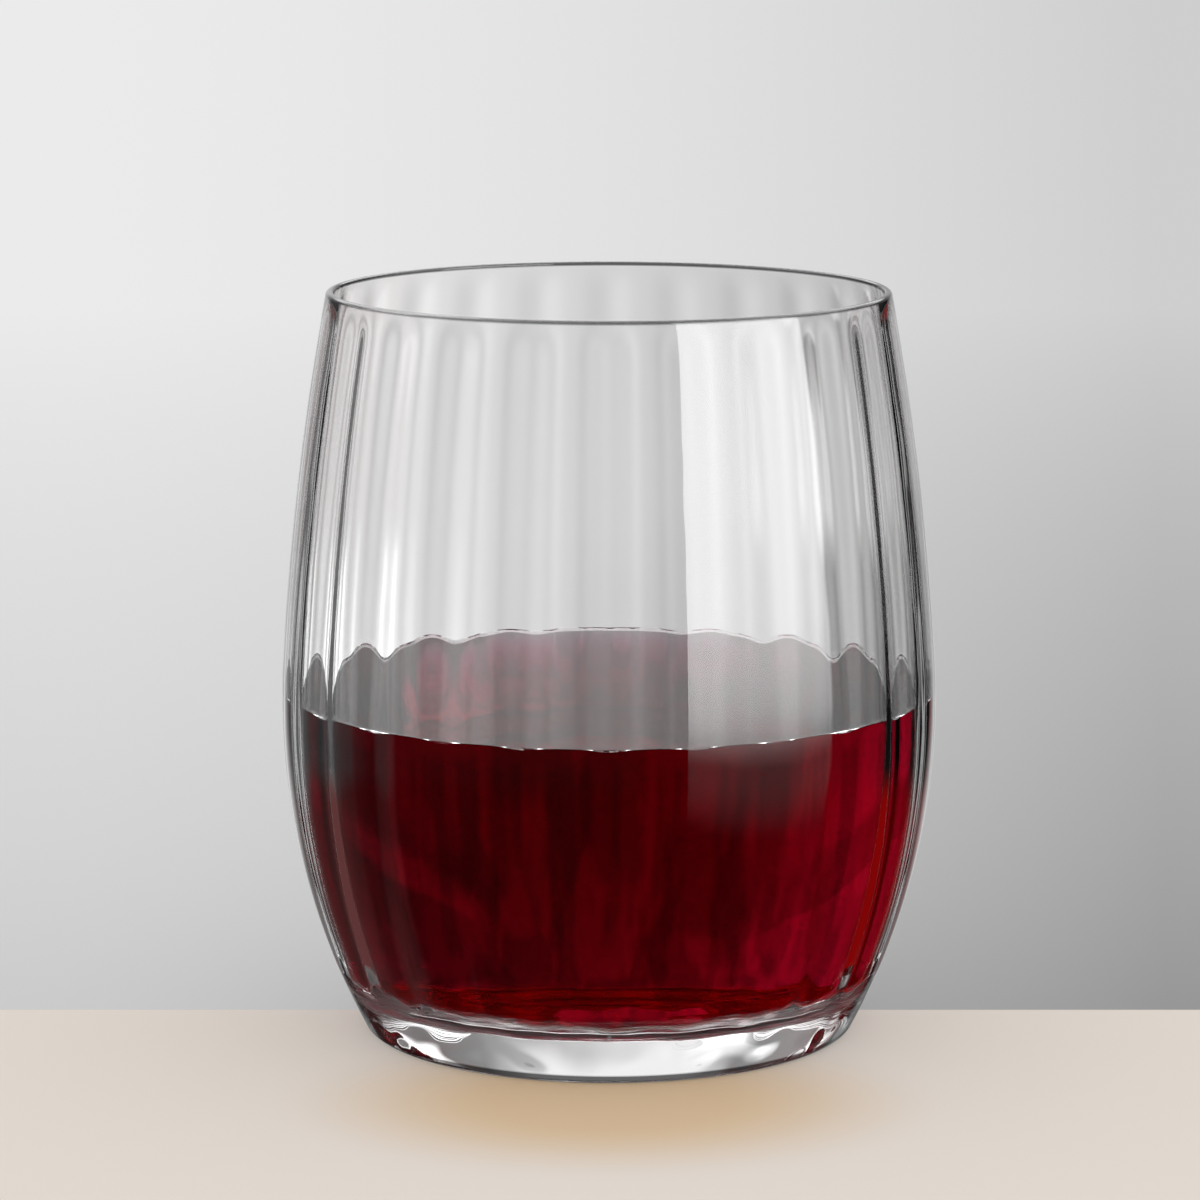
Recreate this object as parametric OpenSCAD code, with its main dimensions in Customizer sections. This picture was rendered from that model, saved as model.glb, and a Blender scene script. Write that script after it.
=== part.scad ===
// Stemless wine glass with ribs inside its bowl, and the red wine poured into it.
// Millimetres, +Z up. The origin is the centre of the foot, on the table.

/* [Bowl] */
// Height from the table to the top of the rim
glass_h = 102.2; // [85:0.2:120]
// Outer diameter at the belly, the widest point
belly_d = 90; // [84:1:104]
// Height of the belly above the table
belly_z = 45.5; // [36:0.5:58]
// Height above the belly at which its round runs into the straighter upper wall
crown_h = 6; // [1:0.5:10]
// Outer diameter at the mouth
mouth_d = 76.8; // [66:0.2:84]

/* [Foot] */
// Diameter of the flat ring that stands on the table
foot_d = 65.4; // [56:0.2:72]
// Radius of the heel, where the foot turns up into the bowl
heel_round = 1.5; // [0.5:0.1:3]
// Diameter of the hollow pushed up into the foot
kick_d = 44; // [20:1:50]
// Height of that hollow at its centre
kick_h = 1.2; // [0.4:0.1:3]

/* [Wall] */
// Thickness of the clear base, from the table to the floor of the bowl
base_t = 6.5; // [5:0.5:16]
// Radius of the corner between the floor and the wall of the bowl
floor_round = 3.5; // [3:0.5:12]
// Wall thickness at the belly and below it
belly_wall = 1.9; // [1.4:0.1:3.5]
// Wall thickness at the rim
rim_wall = 1.1; // [0.8:0.1:2]
// Radius of the fire-polished lip, inside and outside
lip_round = 0.45; // [0.2:0.05:0.5]

/* [Ribs] */
// Number of ribs around the inside of the bowl
rib_count = 24; // [12:1:30]
// Height of a rib's crest over the hollows beside it
rib_depth = 0.3; // [0.1:0.05:1]
// Narrowness of the ribs: 1 is an even wave, and more leaves wider hollows between them
rib_power = 1.6; // [1:0.1:3]
// Turn of the first rib's crest from the +X axis, in degrees
rib_turn = 0; // [0:0.5:15]
// Distance under the rim at which the ribs begin
rib_drop = 0.3; // [0.1:0.1:20]
// Length over which the ribs rise to their full height
rib_fade = 2.5; // [1:0.5:30]

/* [Wine] */
// Height of the wine's surface above the table
fill_z = 47; // [24:1:80]
// Clearance that keeps the wine off the glass
wine_gap = 0.15; // [0.05:0.05:0.3]

/* [Hidden] */
$fn = 144;

// How far a cut runs past the face it opens
overrun = 2;
heel_steps = 6;
body_steps = 18;
wall_steps = 14;
lip_steps = 4;
kick_steps = 8;
corner_steps = 6;
bowl_steps = 11;
steps_per_rib = 6;
ring_points = rib_count * steps_per_rib;

belly_r = belly_d / 2;
mouth_r = mouth_d / 2;
foot_r = foot_d / 2;
kick_r = kick_d / 2;

// Body arc: upright at the belly and tangent to the heel's circle
heel_in = belly_r - foot_r;
heel_down = belly_z - heel_round;
body_round = (pow(heel_in, 2) + pow(heel_down, 2) - pow(heel_round, 2)) / (2 * (heel_in - heel_round));
body_axis = belly_r - body_round;
heel_angle = asin(heel_down / (body_round - heel_round));
heel_top = heel_round * (1 - sin(heel_angle));

// Upper wall: a parabola that leaves the body arc along its tangent and ends at the mouth
crown_z = belly_z + crown_h;
crown_angle = asin(crown_h / body_round);
crown_r = body_axis + body_round * cos(crown_angle);
upper_h = glass_h - crown_z;
upper_bow = (crown_r - tan(crown_angle) * upper_h - mouth_r) / pow(upper_h, 2);

// Radius of the outside at a height above the heel
function body_r(z) = body_axis + sqrt(pow(body_round, 2) - pow(z - belly_z, 2));
function upper_r(z) = crown_r - tan(crown_angle) * (z - crown_z) - upper_bow * pow(z - crown_z, 2);
function outside_r(z) = z < crown_z ? body_r(z) : upper_r(z);

// What a quarter round of radius r takes off at a distance d from its tangent point
function round_off(d, r) = d <= 0 ? 0 : r - sqrt(max(0, pow(r, 2) - pow(d, 2)));

// Wall thickness: even up to the belly, then thinner towards the rim
function wall_at(z) = z < belly_z ? belly_wall
    : belly_wall + (rim_wall - belly_wall) * (z - belly_z) / (glass_h - belly_z);

lip_z = glass_h - lip_round;
corner_z = base_t + floor_round;

// Radius of the bowl's inside between its ribs, from its floor to its lip
function inside_r(z) = outside_r(z) - wall_at(z) - round_off(corner_z - z, floor_round)
    + round_off(z - lip_z, lip_round);

// Share of the ribs' full height at a height z: none at the floor, none above the rib drop
function smooth(t) = let (u = min(1, max(0, t))) u * u * (3 - 2 * u);
function rib_share(z) = smooth((lip_z - rib_drop - z) / rib_fade) * smooth((z - base_t) / floor_round);
function rib_wave(a) = pow((1 + cos(rib_count * (a - rib_turn))) / 2, rib_power);
function rib_at(a, z) = rib_depth * rib_share(z) * rib_wave(a);

// Heights at which the inside has its rings
corner_levels = [for (i = [0:corner_steps]) corner_z - floor_round * cos(90 * i / corner_steps)];
rib_top = lip_z - rib_drop - rib_fade;
bowl_levels = concat([for (i = [1:bowl_steps]) corner_z + (rib_top - corner_z) * i / bowl_steps], [lip_z]);
lip_levels = [for (i = [1:lip_steps]) lip_z + lip_round * sin(90 * i / lip_steps)];
wine_levels = [for (z = concat(corner_levels, bowl_levels)) if (z + wine_gap < fill_z) z];

// One ring of the inside, drawn in by an inset and lifted by a rise
function ring(z, inset, rise) = [
    for (i = [0:ring_points - 1])
        let (a = 360 * i / ring_points, r = inside_r(z) - inset - rib_at(a, z))
            [r * cos(a), r * sin(a), z + rise]
];

// Closed skin over a stack of rings
module ring_stack(rings) {
    n = ring_points;
    top = (len(rings) - 1) * n;
    polyhedron(
        points = [for (r = rings) each r],
        faces = concat(
            [[for (i = [0:n - 1]) i]],
            [[for (i = [n - 1:-1:0]) top + i]],
            [for (j = [0:n:top - 1], i = [0:n - 1]) [j + i, j + n + i, j + n + (i + 1) % n]],
            [for (j = [0:n:top - 1], i = [0:n - 1]) [j + i, j + n + (i + 1) % n, j + (i + 1) % n]]
        )
    );
}

// Half outline of the outside, from the hollow under the foot to the lip
function outline() = concat(
    [for (i = [0:kick_steps - 1]) [kick_r * i / kick_steps, kick_h * (1 - pow(i / kick_steps, 2))]],
    [[kick_r, 0]],
    [for (i = [0:heel_steps - 1])
        let (a = 90 - (90 - heel_angle) * i / heel_steps)
            [foot_r + heel_round * cos(a), heel_round * (1 - sin(a))]],
    [for (i = [0:body_steps - 1])
        let (z = heel_top + (crown_z - heel_top) * i / body_steps) [outside_r(z), z]],
    [for (i = [0:wall_steps])
        let (z = crown_z + (lip_z - crown_z) * i / wall_steps) [outside_r(z), z]],
    [for (i = [1:lip_steps])
        let (z = lip_z + lip_round * sin(90 * i / lip_steps)) [outside_r(z) - round_off(z - lip_z, lip_round), z]],
    [[0, glass_h]]
);

// Hollow of the bowl, carried past the rim so that it opens the top
module bowl_hollow() {
    rim_ring = [for (p = ring(glass_h, 0, 0)) p + [0, 0, overrun]];
    ring_stack(concat(
        [for (z = concat(corner_levels, bowl_levels, lip_levels)) ring(z, 0, 0)],
        [rim_ring]
    ));
}

module glass() {
    color([0.85, 0.9, 0.9, 0.4])
        difference() {
            rotate_extrude() polygon(outline());
            bowl_hollow();
        }
}

module wine() {
    color([0.3, 0.02, 0.06])
        ring_stack(concat(
            [for (z = wine_levels) ring(z, wine_gap, wine_gap)],
            [[for (p = ring(fill_z, wine_gap, 0)) p]]
        ));
}

glass();
wine();
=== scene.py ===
from math import asin, atan2, cos, pi, radians, sin, sqrt, tan
import bpy
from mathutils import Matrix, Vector


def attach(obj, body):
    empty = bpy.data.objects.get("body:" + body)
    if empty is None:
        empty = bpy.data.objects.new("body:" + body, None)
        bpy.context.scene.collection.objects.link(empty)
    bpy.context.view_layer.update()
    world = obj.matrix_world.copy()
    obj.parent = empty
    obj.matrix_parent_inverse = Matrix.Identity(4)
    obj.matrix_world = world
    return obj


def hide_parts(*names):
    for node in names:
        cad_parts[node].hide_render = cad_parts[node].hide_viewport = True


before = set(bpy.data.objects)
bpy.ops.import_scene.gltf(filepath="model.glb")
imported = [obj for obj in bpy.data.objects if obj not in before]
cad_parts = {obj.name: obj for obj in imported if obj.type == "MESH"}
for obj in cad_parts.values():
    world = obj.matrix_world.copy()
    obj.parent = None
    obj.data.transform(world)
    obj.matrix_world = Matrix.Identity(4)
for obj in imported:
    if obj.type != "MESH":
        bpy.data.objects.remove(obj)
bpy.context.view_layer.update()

mm = 0.001
scene = bpy.context.scene
print("frame loaded:", len(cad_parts), "nodes")

# Camera, at the photograph's height and pitch

view = {
    "lens": 141.0,
    "place": (-1.219, -636.5, 170.1),  # millimetres
    "pitch": 9.87,                     # degrees down
}


def addCamera():
    data = bpy.data.cameras.new("studioCamera")
    camera = bpy.data.objects.new("studioCamera", data)
    scene.collection.objects.link(camera)
    data.lens = view["lens"]
    data.sensor_width = 36
    data.clip_start = 0.01
    camera.location = Vector(view["place"]) * mm
    camera.rotation_euler = (radians(90 - view["pitch"]), 0, 0)
    scene.camera = camera


addCamera()
print("camera placed")


# Shader maths: a socket that takes part in sums, and one way to make any other node

class Wire:
    def __init__(self, sheet, socket):
        self.sheet, self.socket = sheet, socket

    def math(self, operation, *others):
        return self.sheet.node("Math", {"operation": operation}, {0: self, **dict(enumerate(others, 1))})

    def turned(self, operation, other):
        return self.sheet.node("Math", {"operation": operation}, {0: other, 1: self})

    def __add__(self, other): return self.math("ADD", other)
    def __radd__(self, other): return self.math("ADD", other)
    def __sub__(self, other): return self.math("SUBTRACT", other)
    def __rsub__(self, other): return self.turned("SUBTRACT", other)
    def __mul__(self, other): return self.math("MULTIPLY", other)
    def __rmul__(self, other): return self.math("MULTIPLY", other)
    def __truediv__(self, other): return self.math("DIVIDE", other)
    def __rtruediv__(self, other): return self.turned("DIVIDE", other)
    def __pow__(self, other): return self.math("POWER", other)
    def __gt__(self, other): return self.math("GREATER_THAN", other)

    def step(self, start, end):
        # 0 at the start, 1 at the end, smooth between them
        return self.sheet.node("MapRange", {"interpolation_type": "SMOOTHSTEP"},
                               {"Value": self, "From Min": start, "From Max": end})

    def line(self, start, end, low, high):
        return self.sheet.node("MapRange", {}, {"Value": self, "From Min": start, "From Max": end,
                                                "To Min": low, "To Max": high})


class Sheet:
    def __init__(self, owner):
        owner.use_nodes = True
        self.tree = owner.node_tree
        self.tree.nodes.clear()

    def node(self, kind, settings=None, sockets=None, output=0):
        node = self.tree.nodes.new("ShaderNode" + kind)
        for name, value in (settings or {}).items():
            if name == "stops":
                ramp = node.color_ramp.elements
                while len(ramp) < len(value):
                    ramp.new(0.5)
                for element, (place, colour) in zip(ramp, value):
                    element.position = place
                    element.color = colour
            else:
                setattr(node, name, value)
        for key, value in (sockets or {}).items():
            if isinstance(value, Wire):
                self.tree.links.new(value.socket, node.inputs[key])
            else:
                node.inputs[key].default_value = value
        return Wire(self, node.outputs[output])

    def blend(self, share, first, second):
        return self.node("Mix", {"data_type": "RGBA"}, {0: share, 6: first, 7: second}, 2)

    def grey(self, level):
        return self.node("CombineColor", {}, {0: level, 1: level, 2: level})

    def finish(self, surface, volume=None, world=False):
        sockets = {"Surface": surface}
        if volume:
            sockets["Volume"] = volume
        output = self.tree.nodes.new("ShaderNodeOutput" + ("World" if world else "Material"))
        for key, value in sockets.items():
            self.tree.links.new(value.socket, output.inputs[key])


def newMaterial(name):
    material = bpy.data.materials.new(name)
    return material, Sheet(material)


# The bowl, in millimetres, with the same curves as the solids

bowl = {
    "height": 102.2, "bellyRadius": 45.0, "bellyHeight": 45.5, "crown": 6.0, "mouthRadius": 38.4,
    "footRadius": 32.7, "heelRound": 1.5, "kickRadius": 22.0, "kickHeight": 1.2,
    "base": 6.5, "corner": 3.5, "bellyWall": 1.9, "rimWall": 1.1, "lipRound": 0.45,
    "columns": 480,
}
ribs = {"count": 24, "depth": 0.3, "turn": 0.0, "drop": 0.3, "fade": 2.5, "power": 1.6}
wine = {
    "fill": 47.0, "gap": 0.15,
    "climb": 0.35, "reach": 1.8, "curve": 2.2,       # the edge that climbs the glass
    "ribbedWithin": 0.6, "levelBand": 0.1,           # near the level, how far in from the wall the ribs reach
}

heelIn = bowl["bellyRadius"] - bowl["footRadius"]
heelDown = bowl["bellyHeight"] - bowl["heelRound"]
bodyRound = (heelIn ** 2 + heelDown ** 2 - bowl["heelRound"] ** 2) / (2 * (heelIn - bowl["heelRound"]))
bodyAxis = bowl["bellyRadius"] - bodyRound
heelAngle = asin(heelDown / (bodyRound - bowl["heelRound"]))
heelTop = bowl["heelRound"] * (1 - sin(heelAngle))
crownTop = bowl["bellyHeight"] + bowl["crown"]
crownAngle = asin(bowl["crown"] / bodyRound)
crownRadius = bodyAxis + bodyRound * cos(crownAngle)
upperHeight = bowl["height"] - crownTop
upperBow = (crownRadius - tan(crownAngle) * upperHeight - bowl["mouthRadius"]) / upperHeight ** 2
lipStart = bowl["height"] - bowl["lipRound"]
cornerTop = bowl["base"] + bowl["corner"]


def outerRadius(z):
    if z < crownTop:
        return bodyAxis + sqrt(bodyRound ** 2 - (z - bowl["bellyHeight"]) ** 2)
    return crownRadius - tan(crownAngle) * (z - crownTop) - upperBow * (z - crownTop) ** 2


def roundOff(distance, radius):
    return 0 if distance <= 0 else radius - sqrt(max(0, radius ** 2 - distance ** 2))


def wallAt(z):
    above = max(0, z - bowl["bellyHeight"]) / (bowl["height"] - bowl["bellyHeight"])
    return bowl["bellyWall"] + (bowl["rimWall"] - bowl["bellyWall"]) * above


def innerRadius(z):
    return (outerRadius(z) - wallAt(z) - roundOff(cornerTop - z, bowl["corner"])
            + roundOff(z - lipStart, bowl["lipRound"]))


def smooth(t):
    t = min(1, max(0, t))
    return t * t * (3 - 2 * t)


def ribShare(z):
    return smooth((lipStart - ribs["drop"] - z) / ribs["fade"]) * smooth((z - bowl["base"]) / bowl["corner"])


def steps(start, end, count):
    return [start + (end - start) * i / count for i in range(1, count + 1)]


cornerLevels = [cornerTop - bowl["corner"] * cos(radians(90) * i / 12) for i in range(13)]
bowlLevels = steps(cornerTop, lipStart, 62)
lipLevels = [lipStart + bowl["lipRound"] * sin(radians(90) * i / 8) for i in range(1, 9)]


def glassOutline():
    # half section from the hollow under the foot, up the outside, over the lip and down to the bowl's floor
    kick = [(bowl["kickRadius"] * i / 10, bowl["kickHeight"] * (1 - (i / 10) ** 2)) for i in range(11)]
    heel = []
    for i in range(9):
        angle = radians(90) - (radians(90) - heelAngle) * i / 8
        heel.append((bowl["footRadius"] + bowl["heelRound"] * cos(angle), bowl["heelRound"] * (1 - sin(angle))))
    side = [(outerRadius(z), z) for z in steps(heelTop, crownTop, 34) + steps(crownTop, lipStart, 26)]
    lip = [(outerRadius(z) - roundOff(z - lipStart, bowl["lipRound"]), z) for z in lipLevels]
    inside = [(innerRadius(z), z) for z in (cornerLevels + bowlLevels + lipLevels)[::-1]]
    floorRadius = innerRadius(bowl["base"])
    floor = [(floorRadius * (1 - i / 8), bowl["base"]) for i in range(1, 9)]
    return kick + heel + side + lip + inside + floor


def wineOutline():
    # half section from the middle of the bowl's floor up the wall to the edge, which climbs the glass a little
    gap, fill = wine["gap"], wine["fill"]
    floorRadius = innerRadius(bowl["base"]) - gap
    floor = [(floorRadius * i / 8, bowl["base"] + gap) for i in range(8)]
    side = [(innerRadius(z) - gap, z + gap) for z in cornerLevels + bowlLevels if z + gap < fill]
    edge = [(innerRadius(fill) - gap, fill + wine["climb"] * t) for t in (0.4, 0.75, 1.0)]
    edge += [(innerRadius(fill) - gap - wine["reach"] * t, fill + wine["climb"] * (1 - t) ** wine["curve"])
             for t in steps(0, 1, 8)]
    surface = [(edge[-1][0] * t, fill) for t in (0.9, 0.6, 0.3, 0)]
    return floor + side + edge + surface


def deselectAll():
    if bpy.context.object and bpy.context.object.mode != "OBJECT":
        bpy.ops.object.mode_set(mode="OBJECT")
    bpy.ops.object.select_all(action="DESELECT")


def turnedPiece(name, outline):
    # one vertex drawn along the half outline, then turned once round the axis by Screw
    deselectAll()
    bpy.ops.mesh.primitive_plane_add(size=mm, enter_editmode=True)
    piece = bpy.context.object
    piece.name = piece.data.name = name
    bpy.ops.mesh.merge(type="CENTER")
    points = [Vector((r, 0, z)) * mm for r, z in outline]
    bpy.ops.transform.translate(value=points[0])
    for here, there in zip(points, points[1:]):
        bpy.ops.mesh.extrude_region_move(TRANSFORM_OT_translate={"value": there - here})
    bpy.ops.object.mode_set(mode="OBJECT")
    screw = piece.modifiers.new("turn", "SCREW")
    screw.steps = screw.render_steps = bowl["columns"]
    bpy.ops.object.modifier_apply(modifier=screw.name)
    bpy.ops.object.mode_set(mode="EDIT")
    bpy.ops.mesh.select_all(action="SELECT")
    bpy.ops.mesh.remove_doubles(threshold=mm / 1000)
    bpy.ops.mesh.normals_make_consistent(inside=False)
    bpy.ops.object.mode_set(mode="OBJECT")
    return piece


def raiseRibs(piece, depth, isRibbed):
    # each rib's height is a vertex weight, and Displace moves the wall by it
    group = piece.vertex_groups.new(name="ribHeight")
    for vertex in piece.data.vertices:
        x, y, z = vertex.co / mm
        share = ribShare(min(z, bowl["height"]))
        if share > 0 and isRibbed(sqrt(x * x + y * y), z):
            wave = (1 + cos(ribs["count"] * (atan2(y, x) - radians(ribs["turn"])))) / 2
            group.add([vertex.index], share * wave ** ribs["power"], "REPLACE")
    lift = piece.modifiers.new("ribs", "DISPLACE")
    lift.vertex_group = group.name
    lift.mid_level = 0
    lift.strength = depth
    bpy.ops.object.modifier_apply(modifier=lift.name)
    piece.vertex_groups.clear()


def finishPiece(piece, material, node):
    piece.data.materials.append(material)
    bpy.ops.object.shade_smooth_by_angle(angle=radians(40))
    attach(piece, "root")
    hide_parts(node)
    print(piece.name, "made:", len(piece.data.vertices), "vertices")


glassLook = {
    "ior": 1.5,
    "waves": 95.0, "waveDepth": 1.1,                 # millimetres of swell in the base
    "upperShare": 0.04, "baseTop": (12, 7),          # share of it in the wall, and the heights it grows between
    "wear": 0.3, "wornRing": (0.25, 0.05),           # roughness of the foot ring, by height
    "lipPaintedShade": 0.93, "lipShadeBand": (101.55, 101.8),     # painted shade: how much darker the glass's colour is made at the lip and the heel
    "heelPaintedShade": 0.98, "heelShadeBand": (1.5, 1.2),
}
wineLook = {
    "ior": 1.34,
    "absorb": (0.766, 0.0, 0.32, 1), "density": 110.0,
    "streaks": (230, 230, 3), "streakPaintedShade": 0.6, "streakEdge": (0.42, 0.58),
    "streakTop": (46.5, 44),                         # heights between which the streaks begin
}


def clearGlass():
    # waves in the thick base, hardly any higher up, a foot ring dulled by tables, and painted shade that darkens
    # the lip and heel
    material, sheet = newMaterial("clearGlass")
    place = sheet.node("TexCoord", {}, {}, 3)
    height = sheet.node("SeparateXYZ", {}, {0: place}, 2) / mm
    waves = sheet.node("TexNoise", {}, {"Vector": place, "Scale": glassLook["waves"], "Detail": 1.0})
    share = height.line(*glassLook["baseTop"], glassLook["upperShare"], 1)
    normal = sheet.node("Bump", {}, {"Strength": 1.0, "Distance": glassLook["waveDepth"] * mm,
                                     "Height": waves * share})
    worn = height.line(*glassLook["wornRing"], 0, glassLook["wear"])
    # painted shade: the lip and the heel get a darker colour, standing in for the dark lines their rounded edges
    # show
    lip = height.line(*glassLook["lipShadeBand"], 0, glassLook["lipPaintedShade"])
    heel = height.line(*glassLook["heelShadeBand"], 0, glassLook["heelPaintedShade"])
    sheet.finish(sheet.node("BsdfPrincipled", {}, {
        "Base Color": sheet.grey(1 - lip - heel), "Roughness": worn, "IOR": glassLook["ior"],
        "Transmission Weight": 1.0, "Normal": normal}))
    return material


def redWine():
    # painted shade: upright darker streaks below the surface, standing in for the bands the ribs throw through the
    # wine
    material, sheet = newMaterial("redWine")
    place = sheet.node("TexCoord", {}, {}, 3)
    drawn = sheet.node("Mapping", {}, {"Vector": place, "Scale": wineLook["streaks"]})
    height = sheet.node("SeparateXYZ", {}, {0: place}, 2) / mm
    paintedStreak = sheet.node("TexNoise", {}, {"Vector": drawn, "Scale": 1.0, "Detail": 2.0})
    # painted shade: the streaks darken the wine's colour in upright bands
    depth = wineLook["streakPaintedShade"] * height.line(*wineLook["streakTop"], 0, 1)
    surface = sheet.node("BsdfPrincipled", {}, {
        "Base Color": sheet.grey(1 - paintedStreak.step(*wineLook["streakEdge"]) * depth), "Roughness": 0.0,
        "IOR": wineLook["ior"], "Transmission Weight": 1.0})
    volume = sheet.node("VolumeAbsorption", {}, {"Color": wineLook["absorb"], "Density": wineLook["density"]})
    sheet.finish(surface, volume)
    return material


glassPiece = turnedPiece("ribbedBowl", glassOutline())
raiseRibs(glassPiece, ribs["depth"] * mm,
          lambda r, z: z > bowl["base"] and r < outerRadius(min(z, bowl["height"])) - wallAt(z) / 2)
finishPiece(glassPiece, clearGlass(), "glass")

winePiece = turnedPiece("pouredWine", wineOutline())
raiseRibs(winePiece, -ribs["depth"] * mm,
          lambda r, z: r > innerRadius(wine["fill"]) - wine["ribbedWithin"] or z < wine["fill"] - wine["levelBand"])
finishPiece(winePiece, redWine(), "wine")

# The stage: one wide floor, pale wood in front and a pale grey ground from just behind the glass.
# Rays that have passed through the glass or the wine see that ground by direction, brighter to the left.

stage = {
    "size": 12.0,
    "edge": 4.9,                     # millimetres behind the axis, where the grey ground starts
    "wood": (0.775, 0.705, 0.645, 1),
    "warm": (0.69, 0.51, 0.33, 1),   # the same wood in front of the foot, warmed by light that the glass gathers
    "warmAhead": 0.052, "warmStretch": 0.8, "warmEdge": (0.046, 0.014),   # metres from its middle
    "own": 0.35, "ownBehind": 0.3,   # share of the brightness that takes no shadow, and what the grey ground adds
    "leftNear": 0.61, "leftFar": 0.83, "rightNear": 0.31, "rightFar": 0.62,    # the grey, as the camera sees it, painted lighter to the left and further back
    "depth": 0.9, "depthPower": 0.7,                 # painted light: how the grey grows lighter with distance
    "slope": 0.115, "halfWidth": 0.078, "acrossPower": 1.5,   # painted light: how it changes from left to right
    "farEdge": (0.36, 0.46), "beyondEdge": (0.6, 0.8),        # metres from the glass
    "footEdge": (0.07, 0.11), "footShare": 0.4,               # dimmer close to the foot
    # brightness by direction, in degrees from straight back, positive to the right
    "near": [(-180, 0.3), (-110, 0.4), (-80, 0.6), (-60, 2.4), (-40, 2.4), (-27, 2.0), (-15, 1.1), (-9, 0.88),
             (0, 0.7), (8, 0.55), (20, 0.34), (60, 0.25), (110, 0.25), (180, 0.3)],
    "far": [(-180, 0.3), (-110, 0.3), (-75, 0.3), (-60, 1.0), (-25, 1.0), (-16, 0.93), (-9, 0.88), (0, 0.7),
            (8, 0.58), (14, 0.84), (22, 0.8), (35, 0.6), (60, 0.3), (75, 0.1), (110, 0.25), (180, 0.3)],
    "beyond": [(-180, 0.3), (-110, 0.3), (-80, 0.4), (-60, 1.1), (-24, 1.1), (-17, 1.05), (-10, 0.95), (-6, 0.85),
               (0, 0.7), (8, 0.55), (20, 0.34), (50, 0.3), (75, 0.1), (110, 0.25), (180, 0.3)],
}


def byDirection(sheet, x, y, stops):
    turn = x.math("ARCTAN2", y) * (0.5 / pi) + 0.5
    top = max(value for place, value in stops)
    ramp = sheet.node("ValToRGB", {"stops": [((place + 180) / 360, (value / top,) * 3 + (1,))
                                             for place, value in stops]}, {0: turn})
    return ramp * top


def addFloor():
    deselectAll()
    bpy.ops.mesh.primitive_plane_add(size=stage["size"], location=(0, 0, 0))
    floor = bpy.context.object
    floor.name = "studioFloor"
    material, sheet = newMaterial("paleFloor")
    place = sheet.node("TexCoord", {}, {}, 3)
    x = sheet.node("SeparateXYZ", {}, {0: place}, 0)
    y = sheet.node("SeparateXYZ", {}, {0: place}, 1)
    # painted light: the grey ground is lighter to the left and further back, standing in for how the studio light
    # falls on it
    depth = (y / stage["depth"]).math("MAXIMUM", 0.0) ** stage["depthPower"]
    left = depth.line(0, 1, stage["leftNear"], stage["leftFar"])
    right = depth.line(0, 1, stage["rightNear"], stage["rightFar"])
    across = (x / (y * stage["slope"] + stage["halfWidth"])).line(-1, 1, 0, 1) ** stage["acrossPower"]
    greyWithPaintedFalloff = sheet.grey(left + (right - left) * across)
    back = y > stage["edge"] * mm
    distance = (x * x + y * y).math("SQRT")
    ahead = y / stage["warmStretch"] + stage["warmAhead"]
    gathered = (x * x + ahead * ahead).math("SQRT").step(*stage["warmEdge"])
    colour = sheet.blend(back, sheet.blend(gathered, stage["wood"], stage["warm"]), greyWithPaintedFalloff)
    lamp = sheet.node("Emission", {}, {0: colour})
    ground = sheet.node("BsdfPrincipled", {}, {"Base Color": colour, "Roughness": 1.0, "Specular IOR Level": 0.0})
    ground = sheet.node("MixShader", {}, {0: back * stage["ownBehind"] + stage["own"], 1: ground, 2: lamp})
    far = distance.step(*stage["farEdge"])
    beyond = distance.step(*stage["beyondEdge"])
    foot = distance.step(*stage["footEdge"]) * (1 - stage["footShare"]) + stage["footShare"]
    glow = (byDirection(sheet, x, y, stage["near"]) * (1 - far) * foot
            + byDirection(sheet, x, y, stage["far"]) * far * (1 - beyond)
            + byDirection(sheet, x, y, stage["beyond"]) * beyond)
    lit = sheet.node("Emission", {}, {0: sheet.grey(glow)})
    through = sheet.node("LightPath", {}, {}, "Is Transmission Ray") * back
    seen = sheet.node("MixShader", {}, {0: through, 1: ground, 2: lit})
    clear = sheet.node("BsdfTransparent")
    mirrored = sheet.node("LightPath", {}, {}, "Glossy Depth") > 0.5
    sheet.finish(sheet.node("MixShader", {}, {0: mirrored, 1: seen, 2: clear}))
    floor.data.materials.append(material)
    deselectAll()


addFloor()
print("floor laid")

# Light: a sky that the glass shows by direction and height, and one soft box at the right

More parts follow.
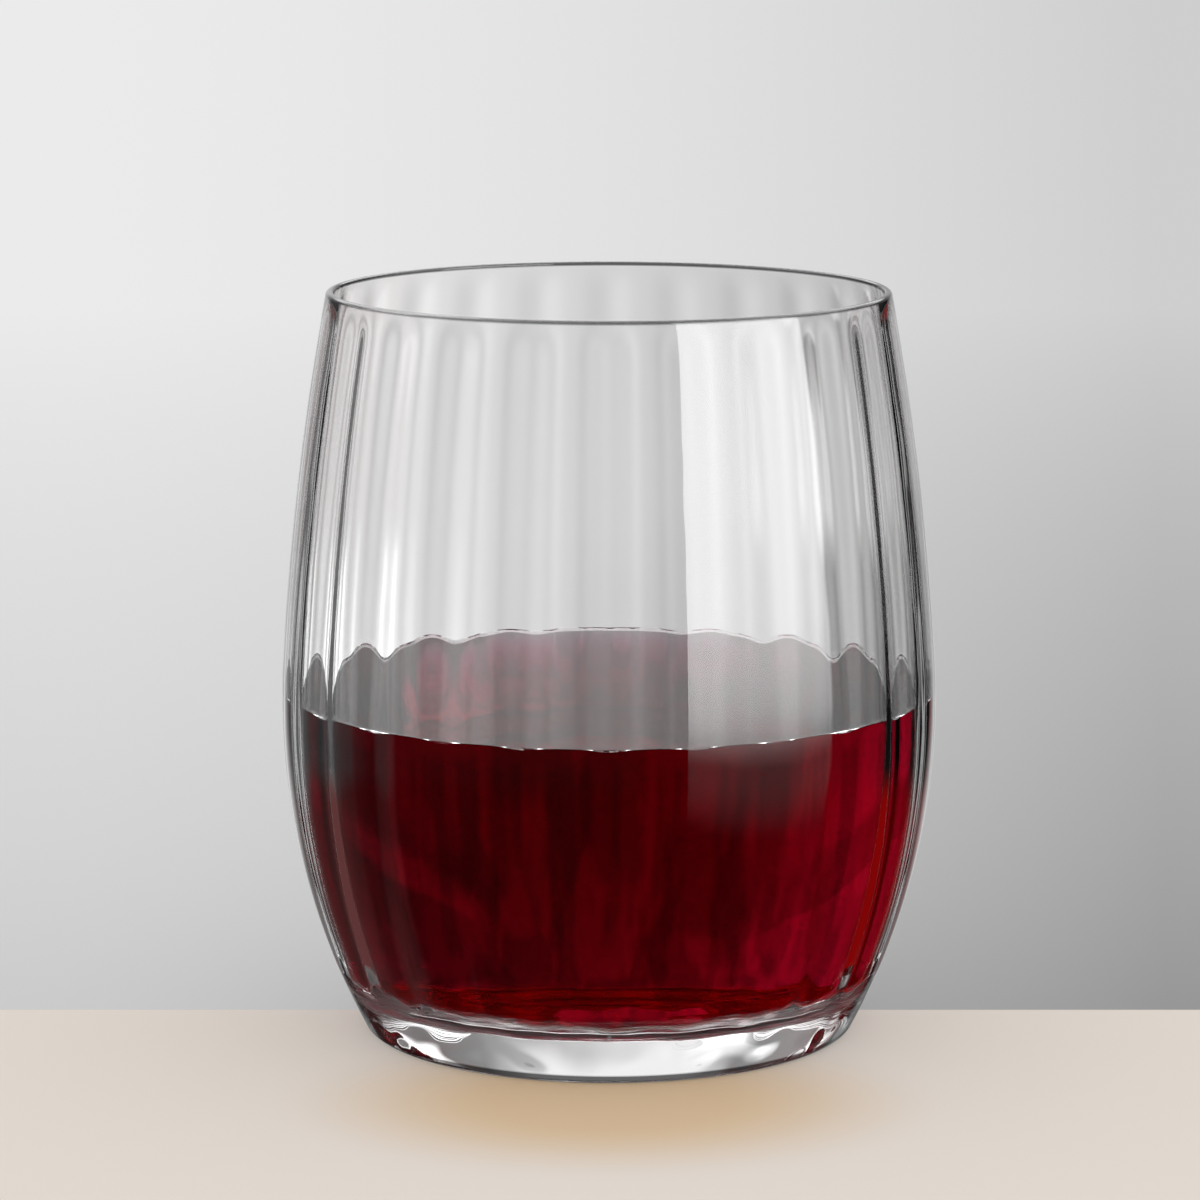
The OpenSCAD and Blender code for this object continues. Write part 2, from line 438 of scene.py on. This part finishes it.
sky = {
    "camera": 0.62,                  # what the camera sees of it
    "level": (1.2, 0.8),             # what lights the floor, from the front and from the back
    # upward parts of rays where one part of the sky gives way to the next
    "deepEdge": (-0.24, -0.3), "aboveEdge": (-0.02, 0.1), "highEdge": (0.21, 0.32), "topEdge": (0.42, 0.52),
    "deepShare": 0.35,               # how much of "below" is left for the steepest rays
    # mirrored rays, above and below the floor, by direction as for the floor
    "above": [(-180, 0.5), (-120, 0.2), (-90, 0.2), (-50, 0.25), (-25, 0.4), (-11, 0.95), (-2, 0.8), (2, 0.6),
              (11, 0.55), (25, 0.25), (50, 0.2), (60, 0.05), (130, 0.03), (180, 0.5)],
    "below": [(-180, 0.01), (-90, 0.01), (-80, 0.11), (-28, 0.11), (-20, 0.75), (0, 0.7), (20, 0.6), (28, 0.006),
              (80, 0.003), (180, 0.004)],
    # the wine's own colour, mirrored in the wall beside it
    "wineBelow": [(-180, 0), (-86, 0), (-78, 0.08), (-32, 0.08), (-26, 0), (26, 0), (32, 0.22), (78, 0.22), (86, 0),
                  (180, 0)],
    # just above the floor, for rays that aren't mirrored
    "low": [(-180, 0.3), (-110, 0.3), (-80, 0.4), (-60, 1.9), (-24, 1.9), (-17, 1.5), (-10, 0.95), (-6, 0.85),
            (0, 0.7), (8, 0.55), (20, 0.34), (50, 0.3), (75, 0.1), (110, 0.25), (180, 0.3)],
    # higher up, mirrored and not
    "high": [(-180, 0.6), (-60, 0.6), (-40, 1.6), (-14, 2.6), (14, 2.6), (40, 1.6), (60, 0.6), (180, 0.6)],
    "highSeen": [(-180, 0.6), (-60, 0.3), (-40, 0.35), (-22, 0.27), (-12, 0.97), (12, 0.97), (22, 0.28), (40, 0.22),
                 (60, 0.4), (180, 0.6)],
    "top": [(-180, 0.6), (-100, 1.0), (-60, 3.5), (60, 3.5), (100, 1.0), (180, 0.6)],
}
softbox = {
    "turn": 53.3,                    # degrees from the front
    "distance": 0.45, "width": 0.464, "low": -0.24, "high": 0.5,      # metres
    "glow": 6.6, "glowEdge": (-0.06, 0.06),          # heights between which it reaches full brightness
    "foot": 0.35, "footEdge": (-0.16, -0.06),        # the dimmer foot, which the wine mirrors
    "side": (-0.5, -0.46),                           # its left side starts sharply, in shares of the width
}


def addSky():
    world = bpy.data.worlds.new("studioSky")
    scene.world = world
    world.cycles.sampling_method = "NONE"
    sheet = Sheet(world)
    ray = sheet.node("TexCoord", {}, {}, 0)
    x, y, z = (sheet.node("SeparateXYZ", {}, {0: ray}, axis) for axis in range(3))
    deep, above, high, top = (z.step(*sky[edge]) for edge in ("deepEdge", "aboveEdge", "highEdge", "topEdge"))
    seen = sheet.node("LightPath", {}, {}, "Is Camera Ray")
    spread = sheet.node("LightPath", {}, {}, "Diffuse Depth") > 0.5
    mirrored = sheet.node("LightPath", {}, {}, "Glossy Depth") > 0.5
    below = (1 - deep * (1 - sky["deepShare"])) * byDirection(sheet, x, y, sky["below"])
    lowMirrored = above * byDirection(sheet, x, y, sky["above"]) + (1 - above) * below
    low = mirrored * lowMirrored + (1 - mirrored) * byDirection(sheet, x, y, sky["low"])
    over = (mirrored * byDirection(sheet, x, y, sky["high"])
            + (1 - mirrored) * byDirection(sheet, x, y, sky["highSeen"]))
    glow = (1 - high) * low + high * (1 - top) * over + top * byDirection(sheet, x, y, sky["top"])
    light = seen * sky["camera"] + spread * y.line(-1, 1, *sky["level"]) + (1 - seen) * (1 - spread) * glow
    red = light + mirrored * deep * (1 - spread) * byDirection(sheet, x, y, sky["wineBelow"])
    colour = sheet.node("CombineColor", {}, {0: red, 1: light, 2: light})
    sheet.finish(sheet.node("Background", {}, {"Color": colour, "Strength": 1.0}), world=True)


def addSoftbox():
    # seen only in mirrored rays, which gives the glass its bright patch
    deselectAll()
    bpy.ops.mesh.primitive_plane_add(size=1, location=(0, 0, 0))
    box = bpy.context.object
    box.name = "rightSoftbox"
    angle, low, high = radians(softbox["turn"]), softbox["low"], softbox["high"]
    box.location = (sin(angle) * softbox["distance"], -cos(angle) * softbox["distance"], (low + high) / 2)
    box.rotation_euler = Vector((-sin(angle), cos(angle), 0)).to_track_quat("Z", "Y").to_euler()
    box.scale = (softbox["width"], high - low, 1)
    material, sheet = newMaterial("softboxLight")
    place = sheet.node("TexCoord", {}, {}, 3)
    across = sheet.node("SeparateXYZ", {}, {0: place}, 0)
    height = sheet.node("SeparateXYZ", {}, {0: place}, 1).line(-0.5, 0.5, low, high)
    lower = height.step(*softbox["footEdge"]) * softbox["foot"]
    upper = height.step(*softbox["glowEdge"]) * (softbox["glow"] - softbox["foot"])
    sheet.finish(sheet.node("Emission", {}, {0: sheet.grey((lower + upper) * across.step(*softbox["side"]))}))
    box.data.materials.append(material)
    box.visible_camera = box.visible_diffuse = box.visible_transmission = False
    deselectAll()


addSky()
addSoftbox()

scene.view_settings.view_transform = "Standard"
scene.cycles.max_bounces = 24
scene.cycles.transmission_bounces = 24
scene.cycles.glossy_bounces = 8
print("lights set")
